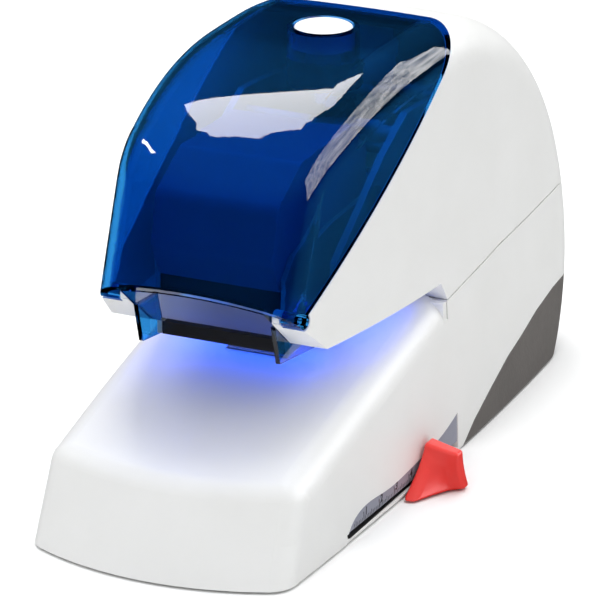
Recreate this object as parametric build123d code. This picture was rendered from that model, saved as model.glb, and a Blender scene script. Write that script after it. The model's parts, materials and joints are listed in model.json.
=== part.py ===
"""Electric desk stapler: a wedge base, a rounded head over a throat and a clear hinged cover."""
from build123d import *
from math import atan2, cos, degrees, hypot, pi, radians, sin
import os

# Millimetres. +Z up, X is the width, the nose faces -Y. The origin is on the table, midway across.

# outer form
side_draft = 3.4          # every side wall leans inwards by this angle
half_width = 42.3         # at table level, at the widest station
widest_y = 4.0
base_side_radius = 2200.0     # plan arcs of the side walls
head_side_radius = 440.0
rear_side_radius = 1300.0
crown_height = 126.0
crown_y = -12.2           # where the flat crown starts
crown_radius = 125.0
crown_angle = 25.0        # where the crown arc meets the crest arc
crest_radius = 26.0
front_lean = 21.0
nose_bulge = 58.0         # plan radius of the head's front
rear_bulge = 150.0        # plan radius of the rear
rear_top_y = 12.0
rear_y = 115.5
rear_waist = 36.0         # the rear is furthest back at this height
rear_foot_y = 103.0
edge_radius = 13.0
split_y = 5.0             # front and rear of the form meet on this plane
wall = 2.5
cover_wall = 2.2

# head: throat, chin and the slanted joint with the cover
tip = (-65.5, 56.7)
hinge = (-77.5, 66.7)     # the cover's hinge line, at the lower front corner
throat_top = (0.3, 54.5)
cover_joint_top = (28.0, 124.6)
seam = [(4.2, 48.4), (45.0, 51.8), (84.0, 52.7), (140.0, 53.9)]
seam_gap = 0.5
cover_gap = 0.3
chin_slope = (hinge[1] - tip[1]) / (hinge[0] - tip[0])
joint_slope = (cover_joint_top[1] - hinge[1]) / (cover_joint_top[0] - hinge[0])
nose_opening = 22.0       # half width of the opening in the head's underside
opening_rear_y = -30.0
screw_posts = [(33.6, 8.0), (31.5, 86.0)]
post_radius = 3.2
boss_bore = 1.4

# cover, its hinge and its release button
pivot = (hinge[0] + 2.1, hinge[1] + 2.1 * joint_slope)     # the cover turns about this line
ear_radius = 2.2
ear_x = 24.8              # inner face of the cover's hinge ears
pin_radius = 1.0
button_y = 4.1
button_radius = 8.5
button_bottom = 119.0
stem_radius = 2.6
collar_thickness = 2.0
guard_x = 21.8            # half width of the clear chin

# base
wedge_foot = (-119.6, -10.0)   # the front face runs from here, under the table, up to the crease
base_crease = (-103.2, 26.8)
crease_radius = 8.0
wedge_edge = 8.0
wedge_rear = 3.4          # the wedge ends here and the rear walls begin
base_top = [(-58.2, 38.1), (-8.4, 48.8)]
base_top_end = (12.0, 49.4)
base_bulge = 84.0
base_floor = 0.8          # lower edge of the base mouldings above the table
chassis_edge = [(10.0, 0.0), (20.0, 5.2), (33.0, 10.0), (48.0, 14.9), (61.0, 17.5), (74.0, 20.5),
                (90.0, 22.4), (130.0, 23.6)]
plate_top = 3.2
plate_rear = 0.7          # rear end of the bottom plate's full width
tongue_x = 34.2           # half width of the tongue that joins the plate to the tub
slit = (3.2, 4.2)         # gap between the wedge and the head's rear wall
anvil_y = -39.5           # the stapling line
anvil_size = (18.0, 5.0, 2.1)
groove_x = 3.6
feet = [(24.0, -88.0), (27.0, 70.0)]
foot_radius = 6.0
foot_height = 1.9

# depth scale and its slider
recess = [(-69.0, 0.0), (-65.5, 5.0), (-61.0, 7.0), (-43.0, 7.0), (-21.0, 7.8), (-6.0, 9.0), (3.0, 10.8),
          (8.0, 12.2), (7.0, 0.0)]
recess_x = 39.9
scale_thickness = 0.7
slot_z = (1.7, 3.3)
slot_y = (-68.3, 5.0)
stem_y = (-27.0, -13.0)
finger_x = 13.5
finger_size = (5.0, 2.0)
finger_y = -6.5           # the face that the paper stops against
finger_top = 53.4
finger_travel = (-21.0, 4.5)

# mechanism
arm_axle = (62.0, 76.0)
arm_axle_radius = 3.0
frame_x = 24.0            # inner face of the frame plates
frame_thickness = 2.0
gear_module = 1.0
crank_teeth = 50
reduction_teeth = 42
reduction_pinion_teeth = 15
motor_teeth = 12
crank_centre = (22.0, 74.0)
motor_centre = (60.0, 32.0)
motor_radius = 17.0
motor_length = 50.0
gear_width = 3.5
layer_1 = (26.6, 26.6 + gear_width)          # crank gear and the reduction gear's pinion
layer_2 = (layer_1[1] + 0.6, layer_1[1] + 0.6 + gear_width)     # large reduction gear and motor pinion
backlash = 0.22
cam_radius = 9.0
cam_throw = 1.96
cam_clearance = 0.6
bush_radius = 5.5
shaft_radius = 4.0
reduction_pin_radius = 2.0
motor_shaft_radius = 1.6
spacers = [(70.0, 86.0), (36.0, 98.0), (4.1, 96.0), (30.0, 20.0)]
spacer_radius = 2.5
foot_screws = (19.0, 33.0)
foot_screw_x = frame_x - 5.0
foot_screw_radius = 1.5

# stapling arm
arm_x = 18.6              # inner face of the arm plates
arm_thickness = 1.4
cassette_x = 18.4
cassette_wall = 1.8
roll_centre = (-30.0, 88.0)
strip_x = 6.4             # half width of the staple strip
nose_front = -63.6
nose_rear = -32.5
nose_bottom = 52.2
nose_rise = 3.0           # the nose's underside climbs this much towards the rear, as the table does
nose_top = 70.4

# electrics
board_y = 89.0
panel_y = 102.0           # flat rear panel for the inlet and the switch
inlet_x = -16.0
switch_x = 15.0
socket_z = (6.8, 18.0)
socket_middle = (socket_z[0] + socket_z[1]) / 2
socket_radius = 3.9
pin_pitch = 7.2
inlet_half = 10.0
switch_half = 9.0
switch_wall = 1.3
flange = 1.2
rocker_axis = (panel_y - 2.4, socket_middle)
rocker_tilt = 9.0
rocker_pin_radius = 1.2

running = 0.05            # radial clearance of every running fit


def write(node, *shapes):
    """Save one node as a group of separate solids."""
    solids = [s for shape in shapes for s in shape.solids()]
    export_step(solids[0] if len(solids) == 1 else Compound(children=solids), f"parts/{node}.step")


def side_view(points, x0, x1):
    """Prism across the width from a closed outline of (y, z) points."""
    face = make_face(Polyline(*points, close=True))
    return extrude(Plane.YZ.offset(x0) * face, amount=x1 - x0)


def block(x, y, z):
    """Box between two limits along each axis."""
    box = Box(x[1] - x[0], y[1] - y[0], z[1] - z[0])
    return Pos((x[0] + x[1]) / 2, (y[0] + y[1]) / 2, (z[0] + z[1]) / 2) * box


def rod(centre, radius, x0, x1):
    """Round bar along the width at (y, z)."""
    return Pos((x0 + x1) / 2, *centre) * Rot(0, 90, 0) * Cylinder(radius, abs(x1 - x0))


def post(x, y, radius, z0, z1):
    """Upright round bar at (x, y)."""
    return Pos(x, y, (z0 + z1) / 2) * Cylinder(radius, z1 - z0)


def both_sides(shape):
    return [shape, mirror(shape, Plane.YZ)]


# ---------------------------------------------------------------- outer form

def side_prism(front_radius, inset=0.0, height=132.0):
    """Everything between the two drafted side walls, whose plan is one arc ahead of the widest station
    and one behind it."""
    w = half_width - inset / cos(radians(side_draft))
    y_front, y_rear = -135.0, 140.0

    def narrowing(radius, reach):
        return radius - (radius ** 2 - reach ** 2) ** 0.5

    outline = Curve()
    ends = []
    for side in (1, -1):
        widest = (side * w, widest_y)
        rear_end = (side * (w - narrowing(rear_side_radius, y_rear - widest_y)), y_rear)
        front_end = (side * (w - narrowing(front_radius, widest_y - y_front)), y_front)
        outline += [TangentArc(widest, rear_end, tangent=(0, 1)), TangentArc(widest, front_end, tangent=(0, -1))]
        ends.append((rear_end, front_end))
    outline += [Line(ends[0][0], ends[1][0]), Line(ends[0][1], ends[1][1])]
    return extrude(make_face(outline), amount=height, taper=side_draft)


def bulged(profile, radius, towards):
    """Carry a (y, z) profile across the width along a shallow plan arc without turning it."""
    sections = []
    for x in (-48, -32, -16, 0, 16, 32, 48):
        sag = towards * (radius - (radius ** 2 - x ** 2) ** 0.5)
        sections.append(Pos(x, sag, 0) * (Plane.YZ * profile))
    return loft(sections)


def head_front(inset=0.0):
    """Side profile of the head ahead of the split: leaning face, crest arc, crown arc and flat crown."""
    def at(centre, radius, angle):
        return centre[0] - radius * sin(radians(angle)), centre[1] + radius * cos(radians(angle))

    crown = (crown_y, crown_height - crown_radius)
    crest = at(crown, crown_radius - crest_radius, crown_angle)
    r_crest, r_crown = crest_radius - inset, crown_radius - inset
    face_angle = 90 - front_lean
    face_top = at(crest, r_crest, face_angle)
    low = 30.0
    face_foot = (face_top[0] - (face_top[1] - low) * sin(radians(front_lean)) / cos(radians(front_lean)), low)
    joint = at(crown, r_crown, crown_angle)
    top = crown_height - inset
    back = 40.0
    return Curve() + [
        Line(face_foot, face_top),
        ThreePointArc(face_top, at(crest, r_crest, (face_angle + crown_angle) / 2), joint),
        ThreePointArc(joint, at(crown, r_crown, crown_angle / 2), (crown_y, top)),
        Line((crown_y, top), (back, top)), Line((back, top), (back, low)), Line((back, low), face_foot)]


def rear_profile(inset=0.0):
    """Side profile behind the split: a quarter ellipse over a gentle undercut."""
    top, front = crown_height - inset, -40.0
    waist = (rear_y - inset, rear_waist)
    foot = (rear_foot_y - inset, 0.0)
    quarter = EllipticalCenterArc((rear_top_y, rear_waist), rear_y - inset - rear_top_y, top - rear_waist,
                                  start_angle=0, arc_size=90)
    under = TangentArc(waist, foot, tangent=(0, -1))
    return Curve() + [quarter, under, Line((rear_top_y, top), (front, top)), Line((front, top), (front, 0.0)),
                      Line((front, 0.0), foot)]


def body_form(inset=0.0):
    """Head and rear of the stapler as one smooth solid, or the same form set in by a wall."""
    front = bulged(make_face(head_front(inset)), nose_bulge, 1) & block((-60, 60), (-140, split_y), (0, 140))
    rear = bulged(make_face(rear_profile(inset)), rear_bulge, -1) & block((-60, 60), (split_y, 140), (0, 140))
    form = (front + rear) & side_prism(head_side_radius, inset)

    def rounded(edge):
        middle = edge @ 0.5
        flat_ends = abs(edge.bounding_box().size.Z) < 0.01 and middle.Z < 35
        on_split = abs(middle.Y - split_y) < 0.01 and edge.bounding_box().size.Y < 0.01
        across = edge.bounding_box().size.X > 30
        return abs(middle.X) > 18 and not flat_ends and not on_split and not across

    return fillet(form.edges().filter_by(rounded), edge_radius - inset)


def wedge_form(inset=0.0):
    """The wedge-shaped front of the base: leaning front face, rolled crease and a gently bowed table."""
    back, low = 30.0, wedge_foot[1]
    straight = [base_top[1], base_top_end, (back, base_top_end[1]), (back, low), wedge_foot, base_crease]
    face = make_face(Curve() + [ThreePointArc(base_crease, *base_top), Polyline(*straight)])
    crease = face.vertices().sort_by_distance((*base_crease, 0))[0]
    face = fillet(crease, crease_radius)
    if inset:
        face = offset(face, amount=-inset)
    form = bulged(face, base_bulge, 1) & side_prism(base_side_radius, inset)
    form = form & block((-60, 60), (-140, wedge_rear - inset / 2), (0, 60))

    def rounded(edge):
        middle, size = edge @ 0.5, edge.bounding_box().size
        on_floor = size.Z < 0.05 and middle.Z < 3
        return abs(middle.X) > 20 and not on_floor and size.Y > 0.01

    return fillet(form.edges().filter_by(rounded), wedge_edge - inset)


def below(points, x=60.0, floor=-5.0):
    """Everything under a (y, z) line."""
    return side_view([(points[0][0], floor), *points, (points[-1][0], floor)], -x, x)


def shifted(points, dy, dz):
    return [(y + dy, z + dz) for y, z in points]


# ---------------------------------------------------------------- casings

def above_joint(gap=0.0):
    """The side of the slanted joint that the cover lies on."""
    far = 34.0
    joint_far = (far, hinge[1] + (far - hinge[0]) * joint_slope + gap)
    chin_far = (-120.0, hinge[1] + (-120.0 - hinge[0]) * chin_slope)
    return side_view([(hinge[0], hinge[1] + gap), joint_far, (far, 140.0), (-120.0, 140.0), chin_far], -60, 60)


def housing_zone():
    far = 34.0
    joint_far = (far, hinge[1] + (far - hinge[0]) * joint_slope)
    return side_view([hinge, joint_far, (far, 140.0), (140.0, 140.0), *reversed(seam), (3.4, 49.9), throat_top, tip],
                     -60, 60)


def housing_hollow():
    """Cavity zone of the upper housing: open to the cover and, behind the throat, to the base."""
    lift = 3.0
    return side_view([(-110.0, hinge[1] + lift + (-110.0 - hinge[0]) * chin_slope), (-64.4, 58.9), (1.6, 56.8),
                      (6.6, 49.0), (6.6, 40.0), (130.0, 40.0), (130.0, 140.0), (-110.0, 140.0)], -60, 60)


def cover(outer, inner):
    """Clear cover: one thin shell with hinge ears, a button hole and a collar below it."""
    shell = (outer - inner) & above_joint(cover_gap)
    ears = [rod(pivot, ear_radius, side * ear_x, side * 34.0) for side in (1, -1)]
    shell += (Part() + ears) & outer
    collar = post(0, button_y, button_radius + collar_thickness, 116.5, 124.5)
    shell = shell + collar - post(0, button_y, button_radius + 0.4, 110.0, 130.0)
    for side in (1, -1):
        shell -= rod(pivot, pin_radius + running, side * (ear_x - 1), side * 28.5)
    return shell


def upper_housing(outer, inner):
    """White head moulding: side panels, chin facets, underside and rear wall in one open shell."""
    shell = (outer & housing_zone()) - (inner & housing_hollow())
    shell -= block((-nose_opening, nose_opening), (-90, opening_rear_y), (40, 68))
    for x, y in screw_posts:
        for side in (1, -1):
            boss = post(side * x, y, post_radius, 45.0, 63.0) & outer & housing_zone()
            shell = shell + boss - post(side * x, y, boss_bore, 40.0, 60.0)
    for side in (1, -1):
        shell -= rod(pivot, ear_radius + 0.6, side * (ear_x - 0.3), side * 45.0)
        shell += rod(pivot, ear_radius, side * (nose_opening + 0.2), side * (ear_x - 0.5))
        shell -= rod(pivot, pin_radius, side * (nose_opening + 0.9), side * ear_x)
    return shell


def base_zone():
    """Rear part of the base housing, below the seam and above the grey chassis."""
    top = shifted(seam, 0.0, -seam_gap)
    return side_view([*top, *reversed(shifted(chassis_edge, 0.0, 0.3)), (4.2, 0.3)], -60, 60)


def recess_cut(depth_from):
    """Fin-shaped recess for the depth scale in the right-hand wall."""
    swoop = Curve() + [Spline(*recess[:8]), Line(recess[7], (recess[8][0], -2.0)),
                       Line((recess[8][0], -2.0), (recess[0][0], -2.0)), Line((recess[0][0], -2.0), recess[0])]
    return extrude(Plane.YZ.offset(depth_from) * make_face(swoop), amount=6.0)


def base_housing(outer, inner):
    """White lower moulding: the table that the paper lies on and the walls behind it."""
    wedge_in = wedge_form(wall) & block((-60, 60), (-140, 40), (-20, 60))
    rear = (outer & base_zone()) - (inner & block((-60, 60), (6.7, 140), (-5, 60)))
    shell = wedge_form() - wedge_in
    shell += block((36.8, 41.0), (-72.0, 10.0), (3.6, 15.0)) & side_prism(base_side_radius, 1.0)
    joined = block((-60, 60), (plate_rear + 0.2, 6.7), (0.0, 48.0)) & side_prism(base_side_radius)
    shell = shell + joined + rear
    shell -= block((-60, 60), slit, (42.4, 60.0)) - block((-34, 34), slit, (0.0, 60.0))
    shell -= block((-tongue_x - 0.3, tongue_x + 0.3), (0.5, 8.0), (-5.0, 44.0))
    shell -= block((-60, 60), (-140, 140), (-10.0, base_floor))
    shell -= recess_cut(recess_x)
    shell -= block((30.0, 45.0), slot_y, slot_z)
    for side in (1, -1):
        reach = finger_size[0] / 2 + 0.5
        slot = (finger_y + finger_travel[0] - 1.0, finger_y + finger_size[1] + finger_travel[1] + 0.4)
        shell -= block((side * finger_x - reach, side * finger_x + reach), slot, (20.0, 60.0))
        for x, y in screw_posts:
            shell -= post(side * x, y, post_radius + 0.2, -5.0, 60.0)
    return shell - anvil_pocket()


def table_height(y):
    """Height of the table on the centre line, from the bow through its three points."""
    (y0, z0), (y1, z1), (y2, z2) = base_crease, *base_top
    d0 = (y - y1) * (y - y2) / ((y0 - y1) * (y0 - y2)) * z0
    d1 = (y - y0) * (y - y2) / ((y1 - y0) * (y1 - y2)) * z1
    return d0 + d1 + (y - y0) * (y - y1) / ((y2 - y0) * (y2 - y1)) * z2


def on_table(shape):
    """Lay a shape flat on the sloping table at the stapling line."""
    slope = degrees(atan2(table_height(anvil_y + 5) - table_height(anvil_y - 5), 10.0))
    return Pos(0, anvil_y, table_height(anvil_y)) * Rot(slope, 0, 0) * shape


def anvil_pocket():
    return on_table(Box(anvil_size[0] + 0.4, anvil_size[1] + 0.4, 3.0))


def anvil():
    """Steel clinching plate with a curved groove under each staple leg."""
    plate = Pos(0, 0, -0.45) * Box(*anvil_size)
    plate = fillet(plate.edges().filter_by(Axis.Z), 1.2)
    for side in (1, -1):
        plate -= Pos(side * groove_x, 0, 2.2) * Rot(90, 0, 0) * Cylinder(2.6, 2.0)
    return on_table(plate)


def chassis(outer, inner):
    """Grey lower moulding: the visible tub at the rear and the bottom plate that closes the base."""
    tub_zone = below(chassis_edge)
    tub = (outer & tub_zone) - (inner & block((-60, 60), (0, 140), (plate_top, 60)))
    plate = wedge_form(wall + 0.2) & block((-60, 60), (-140, plate_rear), (0, plate_top))
    plate += block((-tongue_x, tongue_x), (0.0, 14.0), (base_floor, plate_top))
    body = (tub + plate) - block((-60, 60), (-140, 140), (-10.0, base_floor))
    panel = (panel_y - 2.5, panel_y)
    body += block((-33, 33), panel, (plate_top - 1, 21.5)) & outer
    body -= block((-31, 31), (panel_y, 125.0), (4.2, 20.6))
    body -= block((32.0, 60.0), (slot_y[0] - 2, 6.0), (-5.0, 10.0))
    for x, y in screw_posts:
        for side in (1, -1):
            body += post(side * x, y, post_radius, plate_top - 1, seam[0][1] - 0.5)
            body -= post(side * x, y, 1.6, -5.0, 60.0)
            body -= post(side * x, y, 2.5, -5.0, 34.0)
    for side in (1, -1):
        for x, y in feet:
            body -= post(side * x, y, foot_radius + 0.1, -1.0, foot_height)
        for y in foot_screws:
            body -= post(side * foot_screw_x, y, foot_screw_radius, 1.5, 10.0)
    z0, z1 = socket_z
    inlet_hole, switch_hole = inlet_half + 0.1, switch_half + 0.1
    body -= block((inlet_x - inlet_hole, inlet_x + inlet_hole), (board_y, panel_y + 1), (z0 - 1.1, z1 + 1.1))
    body -= block((switch_x - switch_hole, switch_x + switch_hole), (board_y, panel_y + 1), (z0 - 1.3, z1 + 1.3))
    return body


def scale_plate():
    """Depth scale: a thin plate that fills the fin-shaped recess above the slider's slot."""
    outer_x = recess_x + scale_thickness
    plate = recess_cut(recess_x) & block((recess_x, outer_x), (-80, 20), (slot_z[1] + 0.1, 20))
    return plate.solids()[0]


# ---------------------------------------------------------------- throat and cover fittings

def finger_guard(inner):
    """Clear chin that closes the gap below the cover, with a cheek each side of the stapling head."""
    def chin(y):
        return hinge[1] + (y - hinge[0]) * chin_slope

    plate = side_view([(-90.0, chin(-90.0) + 0.1), (-65.6, chin(-65.6) + 0.1), (-66.2, chin(-66.2) + 2.3),
                       (-90.0, chin(-90.0) + 2.3)], -guard_x, guard_x)
    plate = plate & Pos(0, 0.5, 0) * inner
    cheek = side_view([(-74.5, 64.3), (-71.4, 52.4), (-49.0, 49.4), (-44.0, 55.5), (-44.0, 63.0), (-66.0, 63.0)],
                      guard_x - 1.4, guard_x)
    return plate + both_sides(cheek)


def hinge_pins():
    return [rod(pivot, pin_radius, side * (nose_opening + 0.9), side * 28.0) for side in (1, -1)]


def release_button():
    """Slightly domed round button on a stem."""
    cap = post(0, button_y, button_radius, button_bottom, crown_height - 0.1)
    cap = fillet(cap.edges().sort_by(Axis.Z)[-1], 0.8)
    return cap + post(0, button_y, stem_radius, 103.0, button_bottom)


def button_spring():
    """Envelope of the coil spring between the guide ring and the button."""
    return post(0, button_y, 5.0, 110.6, button_bottom - 0.1) - post(0, button_y, 3.6, 100.0, 130.0)


def button_guide():
    """Clip ring under the cover that guides the stem and carries the return spring."""
    radius = button_radius + collar_thickness
    ring = post(0, button_y, radius, 108.6, 110.5)
    skirt = post(0, button_y, radius, 110.5, 116.4) - post(0, button_y, radius - 1.4, 110.0, 117.0)
    return ring + skirt - post(0, button_y, stem_radius + running, 100.0, 120.0)


# ---------------------------------------------------------------- depth stop

def depth_knob():
    """Red finger paddle outside the wall, with a thin stem through the slot."""
    foot = [(42.6, -32.5), (46.8, -33.2), (50.5, -24.5), (55.5, -18.0), (55.8, -8.5), (42.6, -5.5)]
    middle = [(42.3, -20.5), (47.2, -23.0), (51.2, -20.8), (55.6, -19.2), (55.6, -9.0), (42.3, -6.5)]
    top = [(42.2, -14.5), (46.5, -16.0), (51.0, -18.4), (55.3, -20.6), (55.3, -10.0), (42.2, -8.0)]
    levels = [(foot, 1.0), (middle, 6.5), (top, 13.6)]
    grip = loft([Plane.XY.offset(z) * make_face(Polyline(*points, close=True)) for points, z in levels])
    stem = block((34.0, 44.0), stem_y, (slot_z[0] + 0.1, slot_z[1] - 0.1))
    return grip + stem


def depth_stop_bar():
    """Bar under the table that joins the knob's stem to two upright stop fingers."""
    bar = block((-finger_x - 4, 36.4), stem_y, (6.2, 8.2))
    bar += block((34.0, 36.4), stem_y, (slot_z[1] - 0.1, 6.2))
    x_half, finger_back = finger_size[0] / 2, finger_y + finger_size[1]
    bar += block((-finger_x - 4, finger_x + 4), (stem_y[1], finger_back), (6.2, 8.2))
    for side in (1, -1):
        finger = (side * finger_x - x_half, side * finger_x + x_half)
        bar += block(finger, (finger_y, finger_back), (8.2, finger_top))
    return bar


# ---------------------------------------------------------------- frame

def reduction_centre():
    """Where the reduction gear meshes with both the crank gear and the motor pinion."""
    to_crank = gear_module * (crank_teeth + reduction_pinion_teeth) / 2
    to_motor = gear_module * (reduction_teeth + motor_teeth) / 2
    dy, dz = motor_centre[0] - crank_centre[0], motor_centre[1] - crank_centre[1]
    apart = hypot(dy, dz)
    along = (to_crank ** 2 - to_motor ** 2 + apart ** 2) / (2 * apart)
    aside = (to_crank ** 2 - along ** 2) ** 0.5
    uy, uz = dy / apart, dz / apart
    return crank_centre[0] + along * uy + aside * uz, crank_centre[1] + along * uz - aside * uy


def frame_plate(side):
    """Pressed steel side plate with a turned-in foot; the right-hand one also carries the motor."""
    upper = [(78.0, 70.0), (78.0, 84.0), (70.0, 92.0), (40.0, 102.0), (2.0, 104.0), (-14.0, 96.0),
             (-46.0, 74.0), (-46.0, 62.0), (10.0, 61.0), (12.0, 50.0), (12.0, plate_top)]
    lower = [(80.0, plate_top), (80.0, 62.0)] if side > 0 else [(42.0, plate_top), (42.0, 52.0), (62.0, 64.0)]
    plate = side_view([*lower, *upper], frame_x, frame_x + frame_thickness)
    plate += block((frame_x - 10.0, frame_x), (14.0, 38.0), (plate_top, plate_top + 2.0))
    for y in foot_screws:
        plate -= post(foot_screw_x, y, foot_screw_radius, 0.0, 10.0)
    plate -= rod(arm_axle, arm_axle_radius, 20, 30)
    plate -= rod(crank_centre, bush_radius, 20, 30)
    plate -= rod((-20.0, 84.0), 5.0, 20, 30)
    if side > 0:
        plate -= rod(reduction_centre(), reduction_pin_radius, 20, 30)
        plate -= rod(motor_centre, 6.5, 20, 30)
        return plate
    return mirror(plate, Plane.YZ)


def frame_screws():
    shapes = []
    for y in foot_screws:
        for side in (1, -1):
            x, seat = side * foot_screw_x, plate_top + frame_thickness
            shapes.append(post(x, y, foot_screw_radius, 1.6, seat) + post(x, y, 2.8, seat, seat + 2.0))
    return shapes


def frame_spacers():
    return [rod(centre, spacer_radius, -frame_x, frame_x) for centre in spacers]


def crank_bushes():
    ring = rod(crank_centre, bush_radius, frame_x, frame_x + frame_thickness)
    return both_sides(ring - rod(crank_centre, shaft_radius + running, 20, 30))


def motor():
    """Small direct-current motor: round can, end cap and a boss that locates in the frame plate."""
    x0 = frame_x - motor_length
    can = rod(motor_centre, motor_radius, x0 + 6.0, frame_x)
    can = can & block((-60, 60), (0, 140), (motor_centre[1] - 14.5, motor_centre[1] + 14.5))
    cap = rod(motor_centre, motor_radius - 2.5, x0, x0 + 6.0)
    boss = rod(motor_centre, 6.4, frame_x, frame_x + 1.8)
    bore = rod(motor_centre, motor_shaft_radius + running, frame_x - 14.0, frame_x + 3.0)
    shape = can + cap + boss - bore
    for y in (motor_centre[0] - 8.0, motor_centre[0] + 8.0):
        shape += block((x0 - 2.5, x0), (y - 0.4, y + 0.4), (34.0, 37.0))     # solder tag
    return shape


# ---------------------------------------------------------------- gears

def spur(teeth, centre, x0, x1, phase):
    """Spur gear with 20 degree involute flanks; phase is the angle of one tooth's centre from +Y."""
    pitch = gear_module * teeth / 2
    base = pitch * cos(radians(20))
    root, top = pitch - 1.25 * gear_module, pitch + 0.92 * gear_module
    half_tooth = pi / (2 * teeth) - backlash / (2 * pitch)

    def flank(radius):
        roll = (max(radius, base) ** 2 / base ** 2 - 1) ** 0.5
        pitch_roll = (pitch ** 2 / base ** 2 - 1) ** 0.5
        return half_tooth + (pitch_roll - atan2(pitch_roll, 1)) - (roll - atan2(roll, 1))

    points = []
    for n in range(teeth):
        middle = radians(phase) + 2 * pi * n / teeth
        radii = [root, max(pitch - 0.35 * gear_module, base), pitch + 0.3 * gear_module, top]
        side = [(r, middle - flank(r)) for r in radii] + [(r, middle + flank(r)) for r in reversed(radii)]
        points += [(centre[0] + r * cos(a), centre[1] + r * sin(a)) for r, a in side]
    return side_view(points, x0, x1)


def facing(a, b):
    """Direction from one (y, z) centre to another, in degrees from +Y."""
    return degrees(atan2(b[1] - a[1], b[0] - a[0]))


def mesh_phase(teeth, centre, other_teeth, other, other_phase):
    """Phase that puts a gap of this gear where the other gear's tooth meets the line of centres."""
    offset = (facing(other, centre) - other_phase) * other_teeth / teeth
    return facing(centre, other) + offset + 180.0 / teeth


def crank_gear():
    gear = spur(crank_teeth, crank_centre, *layer_1, 0.0)
    gear -= rod(crank_centre, shaft_radius, 20, 40)
    for n in range(5):
        angle = 2 * pi * n / 5
        gear -= rod((crank_centre[0] + 14 * cos(angle), crank_centre[1] + 14 * sin(angle)), 4.0, 20, 40)
    return gear


def crank_shaft():
    """Shaft with two eccentric cams, which stand at the top of their throw at rest."""
    raised = (crank_centre[0], crank_centre[1] + cam_throw)
    cam = rod(raised, cam_radius, arm_x - 0.2, arm_x + arm_thickness + 0.2)
    return rod(crank_centre, shaft_radius, -frame_x - 2.5, layer_1[1]) + both_sides(cam)


def reduction_gear():
    centre = reduction_centre()
    small_phase = mesh_phase(reduction_pinion_teeth, centre, crank_teeth, crank_centre, 0.0)
    small = spur(reduction_pinion_teeth, centre, layer_1[0], layer_2[0], small_phase)
    large = spur(reduction_teeth, centre, *layer_2, 0.0)
    for n in range(4):
        angle = pi / 4 + pi * n / 2
        large -= rod((centre[0] + 13 * cos(angle), centre[1] + 13 * sin(angle)), 4.0, 20, 40)
    return small + large - rod(centre, reduction_pin_radius + running, 20, 40)


def reduction_pin():
    return rod(reduction_centre(), reduction_pin_radius, frame_x, layer_2[1] + 0.3)


def motor_pinion():
    phase = mesh_phase(motor_teeth, motor_centre, reduction_teeth, reduction_centre(), 0.0)
    shaft = rod(motor_centre, motor_shaft_radius, frame_x - 12.0, layer_2[0])
    return spur(motor_teeth, motor_centre, *layer_2, phase) + shaft


# ---------------------------------------------------------------- stapling arm

def nose_underside():
    return [(nose_front, nose_bottom), (nose_front + 18.0, nose_bottom + 0.4), (nose_rear, nose_bottom + nose_rise)]


def arm_plates():
    """Two steel side plates: pivot eye at the rear, cam yoke in the middle, stapling nose in front."""
    yoke = (crank_centre[0], crank_centre[1] + cam_throw)
    outline = [*nose_underside(), (nose_rear, 68.0), (-26.0, 71.5), (62.0, 70.0), (62.0, 82.5), (8.0, 84.0),
               (-36.0, 82.0), (-58.0, 79.0), (nose_front, 74.0)]
    x1 = arm_x + arm_thickness
    plate = side_view(outline, arm_x, x1) + rod(arm_axle, 7.0, arm_x, x1) + rod(yoke, 14.5, arm_x, x1)
    reach = cam_radius + cam_clearance
    plate -= rod((yoke[0] - cam_throw - 0.2, yoke[1]), reach, 10, 30)
    plate -= rod((yoke[0] + cam_throw + 0.2, yoke[1]), reach, 10, 30)
    plate -= block((10, 30), (yoke[0] - cam_throw, yoke[0] + cam_throw), (yoke[1] - reach, yoke[1] + reach))
    plate -= rod(arm_axle, arm_axle_radius + running, 10, 30)
    return both_sides(plate)


def arm_hub():
    return rod(arm_axle, 5.0, -arm_x, arm_x) - rod(arm_axle, arm_axle_radius + running, -30, 30)


def arm_stays():
    return [rod(centre, 2.0, -arm_x, arm_x) for centre in ((44.0, 77.0), (-4.0, 78.0))]


def axle():
    """Fixed axle with a clip groove's collar outside each frame plate."""
    x = frame_x + frame_thickness
    collars = [rod(arm_axle, arm_axle_radius + 1.4, side * (x + 0.02), side * (x + 1.2)) for side in (1, -1)]
    return rod(arm_axle, arm_axle_radius, -x - 1.6, x + 1.6) + collars


def cassette():
    """Plastic magazine with a rounded back, hollow for the roll of staples."""
    outline = [(-64.3, 70.6), (-69.0, 80.0), (-66.0, 95.0), (-50.0, 104.0), (-16.0, 104.0), (-9.0, 98.0),
               (-9.0, 72.2), (-46.0, 72.2), (-47.0, 70.6)]
    face = make_face(Polyline(*outline, close=True))
    crest = [face.vertices().sort_by_distance((y, z, 0))[0] for y, z in outline[1:6]]
    face = fillet(crest, 5.0)
    shell = extrude(Plane.YZ.offset(-cassette_x) * face, amount=2 * cassette_x)
    inner_x = cassette_x - cassette_wall
    hollow = extrude(Plane.YZ.offset(-inner_x) * offset(face, amount=-cassette_wall), amount=2 * inner_x)
    finger_grip = block((-8, 8), (-9.5, -9.0 + 4.0), (84, 88))
    return shell - hollow + finger_grip


def staple_roll():
    """Roll of staple strip with its free end leading forward along the magazine's floor."""
    coil = rod(roll_centre, 13.2, -strip_x, strip_x) - rod(roll_centre, 5.0, -10, 10)
    return coil + block((-strip_x, strip_x), (anvil_y - 2.0, roll_centre[0]), (74.6, 75.3))


def former_place(clearance=0.0):
    """Upright slot just ahead of the stapling line for the former plate."""
    return block((-9.0 - clearance, 9.0 + clearance), (anvil_y - 1.9 - clearance, anvil_y - 1.0 + clearance),
                 (40.0, 66.0 + clearance))


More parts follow.
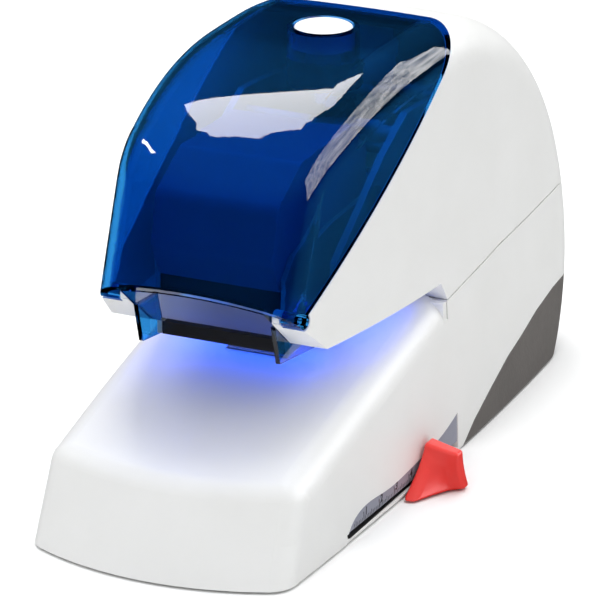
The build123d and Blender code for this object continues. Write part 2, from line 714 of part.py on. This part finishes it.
def cassette_nose():
    """Black guide block that feeds the staple under the driver, hollow ahead of the stapling line."""
    nose = side_view([*nose_underside(), (nose_rear, nose_top), (nose_front, nose_top)], -cassette_x, cassette_x)
    slot = block((-6.6, 6.6), (anvil_y - 0.8, anvil_y + 0.8), (40.0, 80.0))
    chute = block((-6.6, 6.6), (anvil_y + 2.0, nose_rear - 1.5), (nose_bottom + 6.0, 80.0))
    nose -= block((-cassette_x + 2.0, cassette_x - 2.0), (nose_front + 2.4, anvil_y - 4.0), (nose_bottom + 3.0, 80.0))
    return nose - slot - chute - former_place(0.04)


def former_plate():
    """Hardened plate that bends the staple's legs."""
    nose = side_view([*nose_underside(), (nose_rear, nose_top), (nose_front, nose_top)], -cassette_x, cassette_x)
    return former_place() & nose


def driver_blade():
    return block((-6.3, 6.3), (anvil_y - 0.55, anvil_y + 0.55), (59.4, 69.8))


# ---------------------------------------------------------------- electrics

def circuit_board():
    return block((-26.0, 26.0), (board_y, board_y + 1.6), (7.0, 46.0))


def board_parts():
    """Transformer, capacitor and relay on the board's front face."""
    transformer = block((-24.0, -4.0), (board_y - 11.0, board_y), (24.0, 44.0))
    capacitor = Pos(6.0, board_y - 5.0, 34.0) * Rot(90, 0, 0) * Cylinder(5.0, 10.0)
    relay = block((14.0, 24.0), (board_y - 9.0, board_y), (26.0, 42.0))
    return [transformer, capacitor, relay]


def mains_inlet():
    """Two-pin appliance inlet: a body in the rear panel with an oval socket."""
    z0, z1 = socket_z
    x_body, x_flange = inlet_half, inlet_half + 1.5
    inlet = block((inlet_x - x_body, inlet_x + x_body), (board_y + 1.6, panel_y), (z0 - 1.0, z1 + 1.0))
    inlet += block((inlet_x - x_flange, inlet_x + x_flange), (panel_y, panel_y + flange), (z0 - 2.0, z1 + 2.0))
    for x in (inlet_x - pin_pitch / 2, inlet_x + pin_pitch / 2):
        inlet -= Pos(x, panel_y - 2.0, socket_middle) * Rot(90, 0, 0) * Cylinder(socket_radius, 12.0)
    return inlet - block((inlet_x - pin_pitch / 2, inlet_x + pin_pitch / 2), (panel_y - 8.0, panel_y + 4.0),
                         (socket_middle - socket_radius, socket_middle + socket_radius))


def inlet_pins():
    return [Pos(x, panel_y - 4.6, socket_middle) * Rot(90, 0, 0) * Cylinder(1.15, 8.6)
            for x in (inlet_x - pin_pitch / 2, inlet_x + pin_pitch / 2)]


def switch_frame():
    """Snap-in frame of the rocker switch, bored for the rocker's pivot pins."""
    z0, z1 = socket_z[0] - 1.2, socket_z[1] + 1.2
    x_flange, x_hole = switch_half + 1.5, switch_half - switch_wall
    frame = block((switch_x - switch_half, switch_x + switch_half), (panel_y - 10.0, panel_y), (z0, z1))
    frame += block((switch_x - x_flange, switch_x + x_flange), (panel_y, panel_y + flange), (z0 - 1.0, z1 + 1.0))
    frame -= block((switch_x - x_hole, switch_x + x_hole), (panel_y - 8.0, 125.0), (z0 + 1.4, z1 - 1.4))
    return frame - rod(rocker_axis, rocker_pin_radius + running, switch_x - 8.6, switch_x + 8.6)


def power_rocker():
    """Rocker with two sloping faces and a pivot pin at each end, shown pressed to off."""
    y, z = rocker_axis
    half = (socket_z[1] - socket_z[0]) / 2 - 0.8
    outline = [(y - 2.6, z - 3.0), (y + 2.6, z - half), (y + 3.4, z), (y + 2.6, z + half), (y - 2.6, z + 3.0)]
    body = side_view(outline, switch_x - 7.2, switch_x + 7.2)
    body += rod(rocker_axis, rocker_pin_radius, switch_x - 8.4, switch_x + 8.4)
    return Pos(0, y, z) * Rot(-rocker_tilt, 0, 0) * Pos(0, -y, -z) * body


def rubber_feet():
    return [post(side * x, y, foot_radius, 0.0, foot_height) for x, y in feet for side in (1, -1)]


def housing_screws():
    """Long screws from below: head inside the chassis post, thread in the upper housing's boss."""
    return [post(side * x, y, 2.4, 31.6, 34.0) + post(side * x, y, boss_bore, 34.0, 58.0)
            for x, y in screw_posts for side in (1, -1)]


def paper_sensor():
    """Optical sensor behind the throat that sees the sheets arrive, on a strap across the frame plates."""
    strap_x = frame_x + frame_thickness
    return block((-5.0, 5.0), (8.2, 11.8), (46.0, 52.0)) + block((-strap_x, strap_x), (10.8, 12.0), (46.5, 49.5))


def cover_catch():
    """Spring-steel clip on the upper spacer that grips the cover's rear edge."""
    strap = block((-9.0, 9.0), (33.0, 39.0), (100.5, 101.7))
    return strap + block((-9.0, 9.0), (33.0, 34.2), (101.7, 116.0))


def main():
    os.makedirs("parts", exist_ok=True)
    outer, inner, cover_inner = body_form(), body_form(wall), body_form(cover_wall)
    write("base_housing", base_housing(outer, inner))
    write("chassis", chassis(outer, inner))
    write("upper_housing", upper_housing(outer, inner))
    write("cover", cover(outer, cover_inner))
    write("finger_guard", finger_guard(inner))
    write("hinge_pins", *hinge_pins())
    write("release_button", release_button())
    write("button_spring", button_spring())
    write("button_guide", button_guide())
    write("anvil", anvil())
    write("scale_plate", scale_plate())
    write("depth_knob", depth_knob())
    write("depth_stop_bar", depth_stop_bar())
    write("frame_plate_right", frame_plate(1))
    write("frame_plate_left", frame_plate(-1))
    write("frame_screws", *frame_screws())
    write("frame_spacers", *frame_spacers())
    write("crank_bushes", *crank_bushes())
    write("crank_gear", crank_gear())
    write("crank_shaft", crank_shaft())
    write("reduction_gear", reduction_gear())
    write("reduction_pin", reduction_pin())
    write("motor", motor())
    write("motor_pinion", motor_pinion())
    write("arm_plates", *arm_plates())
    write("arm_hub", arm_hub())
    write("arm_stays", *arm_stays())
    write("arm_axle", axle())
    write("staple_cassette", cassette())
    write("staple_roll", staple_roll())
    write("cassette_nose", cassette_nose())
    write("former_plate", former_plate())
    write("driver_blade", driver_blade())
    write("circuit_board", circuit_board())
    write("board_parts", *board_parts())
    write("mains_inlet", mains_inlet())
    write("inlet_pins", *inlet_pins())
    write("switch_frame", switch_frame())
    write("power_rocker", power_rocker())
    write("rubber_feet", *rubber_feet())
    write("housing_screws", *housing_screws())
    write("paper_sensor", paper_sensor())
    write("cover_catch", cover_catch())


main()
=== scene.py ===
import bmesh
import bpy
import json
from math import cos, pi, radians, sin
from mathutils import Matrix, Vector


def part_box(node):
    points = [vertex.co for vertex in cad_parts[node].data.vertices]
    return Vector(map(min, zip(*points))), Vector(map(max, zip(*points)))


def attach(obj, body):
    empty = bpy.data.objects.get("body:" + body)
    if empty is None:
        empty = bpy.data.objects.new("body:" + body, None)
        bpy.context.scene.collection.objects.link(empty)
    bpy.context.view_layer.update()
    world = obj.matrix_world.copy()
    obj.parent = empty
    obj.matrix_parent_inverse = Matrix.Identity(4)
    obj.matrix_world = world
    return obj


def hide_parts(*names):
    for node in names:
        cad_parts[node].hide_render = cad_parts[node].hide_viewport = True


# Electric desk stapler: white casing, clear blue cover, red depth knob beside a printed scale.
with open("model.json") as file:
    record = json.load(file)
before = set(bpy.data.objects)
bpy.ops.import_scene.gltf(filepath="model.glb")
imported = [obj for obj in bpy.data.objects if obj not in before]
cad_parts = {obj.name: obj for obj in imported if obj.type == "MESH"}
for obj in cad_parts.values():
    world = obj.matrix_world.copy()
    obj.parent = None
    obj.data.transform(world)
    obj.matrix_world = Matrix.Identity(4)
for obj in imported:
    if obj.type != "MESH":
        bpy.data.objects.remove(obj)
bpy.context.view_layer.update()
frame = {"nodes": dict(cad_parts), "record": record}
mm = 0.001


def linear(code):
    # sRGB hex code to a linear colour with alpha
    channels = [int(code[i:i + 2], 16) / 255 for i in (1, 3, 5)]
    return [c / 12.92 if c < 0.04045 else ((c + 0.055) / 1.055) ** 2.4 for c in channels] + [1.0]


def addNode(tree, kind, inputs=None, **settings):
    # an input is a value, a socket, or a node whose first output in use gets linked
    node = tree.nodes.new("ShaderNode" + kind)
    for name, value in settings.items():
        setattr(node, name, value)
    for key, value in (inputs or {}).items():
        if isinstance(value, bpy.types.Node):
            value = next(socket for socket in value.outputs if socket.enabled)
        if isinstance(value, bpy.types.NodeSocket):
            tree.links.new(value, node.inputs[key])
        else:
            node.inputs[key].default_value = value
    return node


def newMaterial(name):
    material = bpy.data.materials.new(name)
    material.use_nodes = True
    material.node_tree.nodes.clear()
    return material, material.node_tree


def blotches(tree, size, detail, stretch=(1, 1, 1)):
    # soft noise in blotches about size metres across; a stretch below 1 draws them out along that axis
    place = addNode(tree, "TexCoord").outputs["Object"]
    scaled = addNode(tree, "Mapping", {"Vector": place, "Scale": stretch})
    return addNode(tree, "TexNoise", {"Vector": scaled, "Scale": 1 / size, "Detail": detail})


def rubbedEdges(tree, radius):
    # one along the edges, nothing on open faces: the bevelled normal leaves the flat one there
    rounded = addNode(tree, "Bevel", {"Radius": radius}, samples=4)
    flat = addNode(tree, "NewGeometry").outputs["Normal"]
    agree = addNode(tree, "VectorMath", {0: rounded, 1: flat}, operation="DOT_PRODUCT").outputs["Value"]
    return addNode(tree, "MapRange", {"Value": agree, "From Min": 0.82, "From Max": 0.995,
                                      "To Min": 1.0, "To Max": 0.0})


def mouldedPlastic(name, base, shade, worn, grain, depth, gloss):
    # injection moulding: faint cloudiness, tool grain, and edges rubbed smoother and paler
    moulding = {"cloud": 22, "rub": 3, "edge": 0.5, "ior": 1.53, "wornGloss": 0.7}
    material, tree = newMaterial(name)
    cloud = blotches(tree, moulding["cloud"] * mm, 3)
    rub = blotches(tree, moulding["rub"] * mm, 4)
    patches = addNode(tree, "MapRange", {"Value": rub, "From Min": 0.35, "From Max": 0.65,
                                         "To Min": 0.2, "To Max": 0.9})
    edges = rubbedEdges(tree, moulding["edge"] * mm)
    wear = addNode(tree, "Math", {0: edges, 1: patches}, operation="MULTIPLY")
    tone = addNode(tree, "Mix", {"Factor": cloud, "A": linear(shade), "B": linear(base)}, data_type="RGBA")
    colour = addNode(tree, "Mix", {"Factor": wear, "A": tone, "B": linear(worn)}, data_type="RGBA")
    dull = addNode(tree, "MapRange", {"Value": rub, "To Min": gloss[0], "To Max": gloss[1]})
    rough = addNode(tree, "Mix", {"Factor": wear, "A": dull, "B": gloss[0] * moulding["wornGloss"]})
    relief = addNode(tree, "Bump", {"Height": blotches(tree, grain * mm, 1), "Distance": depth * mm,
                                    "Strength": 1.0})
    surface = addNode(tree, "BsdfPrincipled", {"Base Color": colour, "Roughness": rough,
                                               "IOR": moulding["ior"], "Normal": relief})
    addNode(tree, "OutputMaterial", {"Surface": surface})
    return material


def brushedSteel(name, base, shade, along, gloss):
    # rolled or ground metal: hairlines one way, cloudy stains and bright rubbed edges
    # the hairlines are several times coarser than real ones, so that they show
    steel = {"hair": 0.5, "hairDepth": 0.02, "stain": 14, "edge": 0.3, "bright": "#E4E4E2", "metallic": 0.75}
    material, tree = newMaterial(name)
    hair = blotches(tree, steel["hair"] * mm, 3, along)
    stain = blotches(tree, steel["stain"] * mm, 4)
    tone = addNode(tree, "Mix", {"Factor": stain, "A": linear(shade), "B": linear(base)}, data_type="RGBA")
    edges = rubbedEdges(tree, steel["edge"] * mm)
    colour = addNode(tree, "Mix", {"Factor": edges, "A": tone, "B": linear(steel["bright"])},
                     data_type="RGBA")
    rough = addNode(tree, "MapRange", {"Value": hair, "To Min": gloss[0], "To Max": gloss[1]})
    relief = addNode(tree, "Bump", {"Height": hair, "Distance": steel["hairDepth"] * mm, "Strength": 1.0})
    surface = addNode(tree, "BsdfPrincipled", {"Base Color": colour, "Metallic": steel["metallic"],
                                               "Roughness": rough, "Normal": relief})
    addNode(tree, "OutputMaterial", {"Surface": surface})
    return material


def clearCover():
    # tinted polycarbonate, moulded clear: deep blue glass with fine scuffs and a slow ripple,
    # and lamp light passes through it in its own colour
    cover = {"glass": "#2A86CE", "shadow": "#62B0E8", "scuff": 1.4, "ripple": 9, "rippleDepth": 0.01}
    material, tree = newMaterial("clearBluePolycarbonate")
    scuffs = blotches(tree, cover["scuff"] * mm, 4, (1, 0.08, 0.4))
    haze = addNode(tree, "MapRange", {"Value": scuffs, "From Min": 0.35, "From Max": 0.8,
                                      "To Min": 0.0, "To Max": 0.07})
    relief = addNode(tree, "Bump", {"Height": blotches(tree, cover["ripple"] * mm, 1),
                                    "Distance": cover["rippleDepth"] * mm, "Strength": 1.0})
    glass = addNode(tree, "BsdfPrincipled", {"Base Color": linear(cover["glass"]), "IOR": 1.58,
                                             "Transmission Weight": 1.0, "Roughness": haze,
                                             "Normal": relief})
    clear = addNode(tree, "BsdfTransparent", {"Color": linear(cover["shadow"])})
    shadowRay = addNode(tree, "LightPath").outputs["Is Shadow Ray"]
    either = addNode(tree, "MixShader", {0: shadowRay, 1: glass, 2: clear})
    addNode(tree, "OutputMaterial", {"Surface": either})
    return material


# plastics by slot: grain and its depth in millimetres, gloss from the least roughness to the most
# the grain is drawn coarser than the real tool texture, so that it shows
plastics = {
    # fine spark-eroded ABS: clean white with an even, soft sheen
    "white_abs": dict(name="whiteMouldedAbs", base="#F3F3F1", shade="#EBEBE8", worn="#F8F8F6",
                      grain=0.9, depth=0.012, gloss=(0.34, 0.5)),
    # coarse spark-eroded ABS: warm grey that looks matt and slightly pebbled
    "grey_abs": dict(name="greyTexturedAbs", base="#716C68", shade="#615D59", worn="#8B8682",
                     grain=1.0, depth=0.06, gloss=(0.5, 0.72)),
    # satin-polished ABS: smooth white cap with a blurred highlight
    "white_button": dict(name="satinWhiteAbs", base="#F4F4F3", shade="#EFEFED", worn="#FAFAF9",
                         grain=0.8, depth=0.002, gloss=(0.42, 0.48)),
    # polished ABS: strong red, glossy enough for a soft highlight on its curves
    "red_plastic": dict(name="redAbs", base="#F8403A", shade="#EF362F", worn="#FA6055",
                        grain=0.8, depth=0.01, gloss=(0.24, 0.38)),
    # painted and printed styrene: flat bluish grey that carries the ink
    "scale_label": dict(name="greyPrintedPlate", base="#9C9EAB", shade="#9496A4", worn="#B4B7C1",
                        grain=0.7, depth=0.004, gloss=(0.35, 0.5)),
    # moulded nylon: near black, half matt, greyer along the edges
    "black_plastic": dict(name="blackNylon", base="#1B1B1D", shade="#151517", worn="#3A3A3C",
                          grain=0.7, depth=0.02, gloss=(0.32, 0.55)),
    # moulded ABS: slate blue that stays quiet behind the blue cover
    "cassette_plastic": dict(name="greyBlueAbs", base="#7C89A3", shade="#6E7B96", worn="#93A0B8",
                             grain=0.8, depth=0.01, gloss=(0.35, 0.5)),
    # moulded acetal: ivory and waxy, as gears are
    "gear_nylon": dict(name="ivoryAcetal", base="#E9E2CC", shade="#DDD5BD", worn="#F2EDDD",
                       grain=0.8, depth=0.008, gloss=(0.3, 0.45)),
    # moulded rubber: dull black with no clear highlight
    "rubber": dict(name="blackRubber", base="#232324", shade="#1C1C1D", worn="#333334",
                   grain=0.5, depth=0.03, gloss=(0.7, 0.9)),
    # lacquered glass-fibre laminate: dark green and fairly glossy
    "board": dict(name="greenLaminate", base="#1C5A34", shade="#17502D", worn="#2C7347",
                  grain=1.2, depth=0.01, gloss=(0.25, 0.4)),
}
# metals by slot: along is smallest on the axis that the hairlines follow
metals = {
    # zinc-plated sheet: pale, slightly warm silver
    "plated_steel": dict(name="zincPlatedSteel", base="#C9C8C2", shade="#B4B3AB", along=(1, 0.1, 1),
                         gloss=(0.28, 0.45)),
    # ground tool steel: darker and sharper in its shine
    "tool_steel": dict(name="groundToolSteel", base="#AAAAA8", shade="#8F8F8C", along=(0.1, 1, 1),
                       gloss=(0.2, 0.34)),
    # deep-drawn steel can: even mid grey with fine lines one way
    "motor_can": dict(name="drawnSteelCan", base="#B9B9B5", shade="#A3A39F", along=(0.15, 1, 1),
                      gloss=(0.25, 0.4)),
    # turned brass: warm yellow with a fine grain
    "brass": dict(name="turnedBrass", base="#C9A25A", shade="#AF8743", along=(1, 1, 0.2), gloss=(0.2, 0.35)),
    # galvanised wire laid side by side: bright, with fine lines along the strip
    "staple_wire": dict(name="galvanisedWire", base="#CFCFCC", shade="#9C9C99", along=(4, 0.05, 1),
                        gloss=(0.22, 0.36)),
}
# screen-printed ink: near black and slightly raised
printInk = dict(name="blackInk", base="#1A1A1E", shade="#141418", worn="#2A2A2E",
                grain=0.5, depth=0.002, gloss=(0.4, 0.55))

materials = {slot: mouldedPlastic(**finish) for slot, finish in plastics.items()}
materials.update({slot: brushedSteel(**finish) for slot, finish in metals.items()})
materials["clear_blue"] = clearCover()
for piece in frame["record"]["subparts"]:
    for slot in frame["nodes"][piece["node"]].material_slots:
        slot.material = materials[piece["material_slot"]]
print("materials assigned")


def meshPiece(name, build, slot, body, material=None):
    # build fills a bmesh, which becomes a piece that rides on a body
    mesh = bpy.data.meshes.new(name)
    work = bmesh.new()
    build(work)
    bmesh.ops.recalc_face_normals(work, faces=work.faces)
    work.to_mesh(mesh)
    work.free()
    piece = bpy.data.objects.new(name, mesh)
    bpy.context.collection.objects.link(piece)
    mesh.materials.append(material or materials[slot])
    mesh.shade_smooth()
    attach(piece, body)
    return piece


def softenEdges(piece, width, segments=4):
    sharpest = 28      # degrees between faces from which an edge is rounded
    bevel = piece.modifiers.new("round", "BEVEL")
    bevel.width = width
    bevel.segments = segments
    bevel.angle_limit = radians(sharpest)
    bevel.use_clamp_overlap = True
    piece.modifiers.new("normals", "WEIGHTED_NORMAL").keep_sharp = True


def addBox(work, low, high):
    corners = []
    for z in (low[2], high[2]):
        for y in (low[1], high[1]):
            corners += [work.verts.new((x, y, z)) for x in (low[0], high[0])]
    for face in ((0, 1, 3, 2), (4, 5, 7, 6), (0, 1, 5, 4), (2, 3, 7, 6), (0, 2, 6, 4), (1, 3, 7, 5)):
        work.faces.new([corners[i] for i in face])


def skinRings(work, rings):
    # walls between neighbouring rings of corners, and a cap at each end
    for first, second in zip(rings, rings[1:]):
        for i in range(len(first)):
            j = (i + 1) % len(first)
            work.faces.new((first[i], first[j], second[j], second[i]))
    work.faces.new(rings[0])
    work.faces.new(rings[-1])


def depthKnob():
    # finger paddle whose plan goes from a pointed foot to a short ridge; y counts from its front tip
    knob = {"levels": 7, "round": 1.1, "bottom": 0.6, "top": 12.6,
            "reach": 1.7,      # how soon the plan turns into the ridge on the way up
            "foot": [(42.5, -1.6), (46.4, -0.6), (49.6, 6.4), (52.4, 11.6), (55.6, 14.2), (55.7, 17.4),
                     (42.5, 22.0)],
            "ridge": [(42.3, 14.6), (45.4, 13.6), (48.2, 12.6), (51.0, 11.6), (54.6, 10.8), (54.6, 15.0),
                      (42.3, 20.4)],
            "stemLow": (34.2, 11.4, 1.82), "stemHigh": (43.6, 19.6, 3.18), "stemRound": 0.3}
    low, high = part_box("depth_knob")

    def paddle(work):
        rings = []
        for n in range(knob["levels"]):
            rise = n / (knob["levels"] - 1)
            share = 1 - (1 - rise) ** knob["reach"]
            height = knob["bottom"] + rise * (knob["top"] - knob["bottom"])
            ring = []
            for (x0, y0), (x1, y1) in zip(knob["foot"], knob["ridge"]):
                x = min((x0 + (x1 - x0) * share) * mm, high.x)
                y = low.y + (y0 + (y1 - y0) * share) * mm
                ring.append(work.verts.new((x, y, height * mm)))
            rings.append(ring)
        skinRings(work, rings)

    def stem(work):
        corners = [(x * mm, low.y + y * mm, z * mm) for x, y, z in (knob["stemLow"], knob["stemHigh"])]
        addBox(work, *corners)

    piece = meshPiece("redPaddle", paddle, "red_plastic", "depth_stop")
    softenEdges(piece, knob["round"] * mm)
    bar = meshPiece("paddleStem", stem, "red_plastic", "depth_stop")
    softenEdges(bar, knob["stemRound"] * mm, 2)
    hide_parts("depth_knob")


# right-hand wall of the housing: it leans in as it rises and bows along its length
wall = {"reach": 42.3, "lean": 3.4, "radius": 2200, "middle": 4, "inset": 0.3}


def scaleFaceX(y, z):
    # place of the scale's face, just inside the wall
    bow = (y / mm - wall["middle"]) ** 2 / (2 * wall["radius"])
    return (wall["reach"] - wall["inset"] - bow) * mm - z * sin(radians(wall["lean"]))


def printedPlate():
    # the scale plate with its face brought out to lie nearly level with the wall
    plate = {"longest": 8, "cuts": 11}      # edges longer than this in mm are cut, to follow the bow
    solid = frame["nodes"]["scale_plate"].data
    low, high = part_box("scale_plate")

    def build(work):
        work.from_mesh(solid)
        long = [edge for edge in work.edges if edge.calc_length() > plate["longest"] * mm]
        bmesh.ops.subdivide_edges(work, edges=long, cuts=plate["cuts"])
        for vertex in work.verts:
            if vertex.co.x > (low.x + high.x) / 2:
                vertex.co.x = scaleFaceX(vertex.co.y, vertex.co.z)
        bmesh.ops.triangulate(work, faces=work.faces)

    piece = meshPiece("printedPlate", build, "scale_label", "housing")
    piece.data.shade_flat()
    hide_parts("scale_plate")


def depthScale():
    # divisions every millimetre and a plain number every ten, in ink that stands a little proud
    scale = {"first": 10.2, "before": 6, "after": 46, "rise": 0.15, "ink": 0.04,
             "tens": 2.5, "fives": 1.5, "ones": 1.0, "bold": 0.17, "fine": 0.1,
             "numbers": 5, "size": 3.1, "weight": 0.07, "slant": 0.25, "beside": 0.6, "above": 1.3,
             "proud": 0.02, "half": 0.8}
    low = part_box("scale_plate")[0]
    ink = mouldedPlastic(**printInk)

    def ticks(work):
        start = low.z + scale["rise"] * mm
        for n in range(-scale["before"], scale["after"]):
            y = low.y + (scale["first"] + n) * mm
            tall = scale["tens"] if n % 10 == 0 else scale["fives"] if n % 5 == 0 else scale["ones"]
            half = scale["bold" if n % 10 == 0 else "fine"] * mm
            addBox(work, (-1, y - half, start), (1, y + half, start + tall * mm))
        for vertex in work.verts:      # inner and outer sides move to just behind and before the face
            side = scale["ink"] if vertex.co.x > 0 else -scale["ink"]
            vertex.co.x = scaleFaceX(vertex.co.y, vertex.co.z) + side * mm

    meshPiece("scaleTicks", ticks, "black_plastic", "housing", ink)
    for n in range(1, scale["numbers"] + 1):
        letter = bpy.data.curves.new(f"scaleNumber{n}", "FONT")
        letter.body = str(n)
        letter.size = scale["size"] * mm
        letter.extrude = scale["ink"] * mm
        letter.offset = scale["weight"] * mm
        letter.shear = scale["slant"]
        number = bpy.data.objects.new(f"scaleNumber{n}", letter)
        bpy.context.collection.objects.link(number)
        letter.materials.append(ink)
        y = low.y + (scale["first"] + scale["beside"] + 10 * (n - 1)) * mm
        z = low.z + scale["above"] * mm
        number.rotation_euler = (pi / 2 - radians(wall["lean"]), 0, pi / 2)
        number.location = (scaleFaceX(y + scale["half"] * mm, z) + scale["proud"] * mm, y, z)
        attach(number, "housing")


def footStrip():
    # white sill under the slot, level with the wall
    sill = {"inner": 39.6, "bottom": 0.8, "top": 1.66, "front": 0.8, "rear": 7.0, "steps": 16,
            "out": 0.2, "round": 0.15}
    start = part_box("scale_plate")[0].y - sill["front"] * mm
    end = sill["rear"] * mm

    def build(work):
        rings = []
        for n in range(sill["steps"] + 1):
            y = start + (end - start) * n / sill["steps"]
            inner = sill["inner"] * mm
            outer = scaleFaceX(y, sill["top"] * mm) + sill["out"] * mm
            corners = ((inner, "bottom"), (outer, "bottom"), (outer, "top"), (inner, "top"))
            rings.append([work.verts.new((x, y, sill[level] * mm)) for x, level in corners])
        skinRings(work, rings)

    piece = meshPiece("footStrip", build, "white_abs", "housing")
    softenEdges(piece, sill["round"] * mm, 2)


def slotTape():
    # black strip on the floor of the knob's slot: painted shade, a dark sheet that keeps the slot looking
    # dark inside
    shadeStrip = {"inner": 32.4, "outer": 41.0, "front": 0.4, "rear": 4.6, "floor": 1.7, "thick": 0.07,
            "round": 0.02}
    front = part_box("scale_plate")[0].y + shadeStrip["front"] * mm
    top = shadeStrip["floor"] + shadeStrip["thick"]

    def build(work):
        addBox(work, (shadeStrip["inner"] * mm, front, shadeStrip["floor"] * mm),
               (shadeStrip["outer"] * mm, shadeStrip["rear"] * mm, top * mm))

    piece = meshPiece("slotTape", build, "black_plastic", "housing")
    softenEdges(piece, shadeStrip["round"] * mm, 1)


depthKnob()
printedPlate()
depthScale()
footStrip()
slotTape()
print("knob and scale made")


def turnTo(place, aim):
    return (Vector(aim) - Vector(place)).to_track_quat("-Z", "Y").to_euler()


def studioFloor():
    # large pale table, painted smooth, with a faint mottle and grain
    table = {"size": 12, "base": "#FAFAF9", "shade": "#F5F5F4", "rough": 0.75, "mottle": 0.4,
             "grain": 2, "grainDepth": 0.02}
    material, tree = newMaterial("paleTable")
    tone = addNode(tree, "Mix", {"Factor": blotches(tree, table["mottle"], 2), "A": linear(table["shade"]),
                                 "B": linear(table["base"])}, data_type="RGBA")
    relief = addNode(tree, "Bump", {"Height": blotches(tree, table["grain"] * mm, 2),
                                    "Distance": table["grainDepth"] * mm, "Strength": 1.0})
    surface = addNode(tree, "BsdfPrincipled", {"Base Color": tone, "Roughness": table["rough"],
                                               "Normal": relief})
    addNode(tree, "OutputMaterial", {"Surface": surface})
    bpy.ops.mesh.primitive_plane_add(size=table["size"])
    floor = bpy.context.object
    floor.name = "studioFloor"
    floor.data.materials.append(material)
    floor.visible_glossy = False      # keeps a grey veil off the clear cover


def softbox(name, place, aim, size, power, colour="#FFFFFF", glossy=True, diffuse=True):
    # rectangular lamp; one without diffuse light is a card that only shows in reflections
    light = bpy.data.lights.new(name, "AREA")
    light.shape = "RECTANGLE"
    light.size = size[0]
    light.size_y = size[1]
    light.energy = power
    light.color = linear(colour)[:3]
    lamp = bpy.data.objects.new(name, light)
    bpy.context.collection.objects.link(lamp)
    lamp.location = place
    lamp.rotation_euler = turnTo(place, aim)
    lamp.visible_glossy = glossy
    lamp.visible_diffuse = diffuse
    lamp.visible_camera = False
    lamp.visible_transmission = False


def foilCard():
    # crumpled foil reflector: only gloss sees it, as the creased band along the cover's edge
    foil = {"place": (1.15, 0.62, 0.66), "size": (2.2, 0.8), "gain": 6.0, "crease": 0.07,
            "dark": "#5A6070", "light": "#FFFFFF"}
    material, tree = newMaterial("foilCard")
    creases = addNode(tree, "MapRange", {"Value": blotches(tree, foil["crease"], 6, (1, 0.35, 1)),
                                         "From Min": 0.3, "From Max": 0.7, "To Min": 0, "To Max": 1})
    tone = addNode(tree, "Mix", {"Factor": creases, "A": linear(foil["dark"]), "B": linear(foil["light"])},
                   data_type="RGBA")
    shine = addNode(tree, "Emission", {"Color": tone, "Strength": foil["gain"]})
    addNode(tree, "OutputMaterial", {"Surface": shine})
    bpy.ops.mesh.primitive_plane_add(size=1)
    card = bpy.context.object
    card.name = "foilCard"
    card.scale = (*foil["size"], 1)
    card.location = foil["place"]
    card.rotation_euler = turnTo(foil["place"], middle)
    card.data.materials.append(material)
    card.visible_camera = False
    card.visible_diffuse = False
    card.visible_transmission = False
    card.visible_shadow = False


def studioWorld():
    # soft sky, brightest overhead and dim near the horizon; the camera sees a plain pale backdrop
    sky = {"colour": "#F6F7F9", "horizon": 0.16, "overhead": 1.4, "from": 0.2, "to": 0.7,
           "backdrop": "#FAFAFA", "backdropGain": 0.95}
    world = bpy.data.worlds.new("studioWorld")
    bpy.context.scene.world = world
    world.use_nodes = True
    tree = world.node_tree
    tree.nodes.clear()
    direction = addNode(tree, "TexCoord").outputs["Generated"]
    height = addNode(tree, "SeparateXYZ", {0: direction}).outputs["Z"]
    upright = addNode(tree, "Math", {0: height}, operation="ABSOLUTE")
    strength = addNode(tree, "MapRange", {"Value": upright, "From Min": sky["from"], "From Max": sky["to"],
                                          "To Min": sky["horizon"], "To Max": sky["overhead"]})
    dome = addNode(tree, "Background", {"Color": linear(sky["colour"]), "Strength": strength})
    plain = addNode(tree, "Background", {"Color": linear(sky["backdrop"]), "Strength": sky["backdropGain"]})
    cameraRay = addNode(tree, "LightPath").outputs["Is Camera Ray"]
    either = addNode(tree, "MixShader", {0: cameraRay, 1: dome, 2: plain})
    addNode(tree, "OutputWorld", {"Surface": either})
    world.cycles_visibility.glossy = False


middle = (0, 0, 0.05)      # point near the object's centre that the lamps face
coverBlue = "#0040C0"      # light that the cover throws into the throat
lamps = {
    "topBox": dict(place=(-0.1, 0.35, 1.2), aim=middle, size=(1.0, 0.8), power=8, glossy=False),
    "crestCard": dict(place=(-0.27, 0.55, 1.15), aim=middle, size=(0.8, 0.42), power=8, diffuse=False),
    "leftStrip": dict(place=(-1.1, -0.2, 1.0), aim=middle, size=(0.35, 0.06), power=1.2, diffuse=False),
    "noseGlow": dict(place=(-0.004, -0.05, 0.0518), aim=(-0.004, -0.06, 0.03), size=(0.05, 0.03),
                     power=0.02, colour=coverBlue, glossy=False),
    "throatGlow": dict(place=(0.0, -0.022, 0.0535), aim=(0.0, -0.022, 0.03), size=(0.066, 0.03),
                       power=0.02, colour=coverBlue, glossy=False),
}
studioFloor()
studioWorld()
for name, values in lamps.items():
    softbox(name, **values)
foilCard()
bpy.context.scene.view_settings.view_transform = "Standard"
print("floor, sky and lamps made")

# long lens from the front right, a little above; metres, degrees and millimetres of lens
view = {"aim": Vector((0.0015, -0.015, 0.0487)), "distance": 1.297, "azimuth": 25.0, "elevation": 20.8,
        "lens": 270.0, "sensor": 36, "farthest": 20}
camera = bpy.data.objects.new("camera", bpy.data.cameras.new("camera"))
bpy.context.collection.objects.link(camera)
camera.data.lens = view["lens"]
camera.data.sensor_width = view["sensor"]
azimuth = radians(view["azimuth"])
elevation = radians(view["elevation"])
towards = Vector((sin(azimuth) * cos(elevation), -cos(azimuth) * cos(elevation), sin(elevation)))
camera.location = view["aim"] + towards * view["distance"]
camera.rotation_euler = (-towards).to_track_quat("-Z", "Y").to_euler()
camera.data.clip_end = view["farthest"]
bpy.context.scene.camera = camera
print("camera placed")
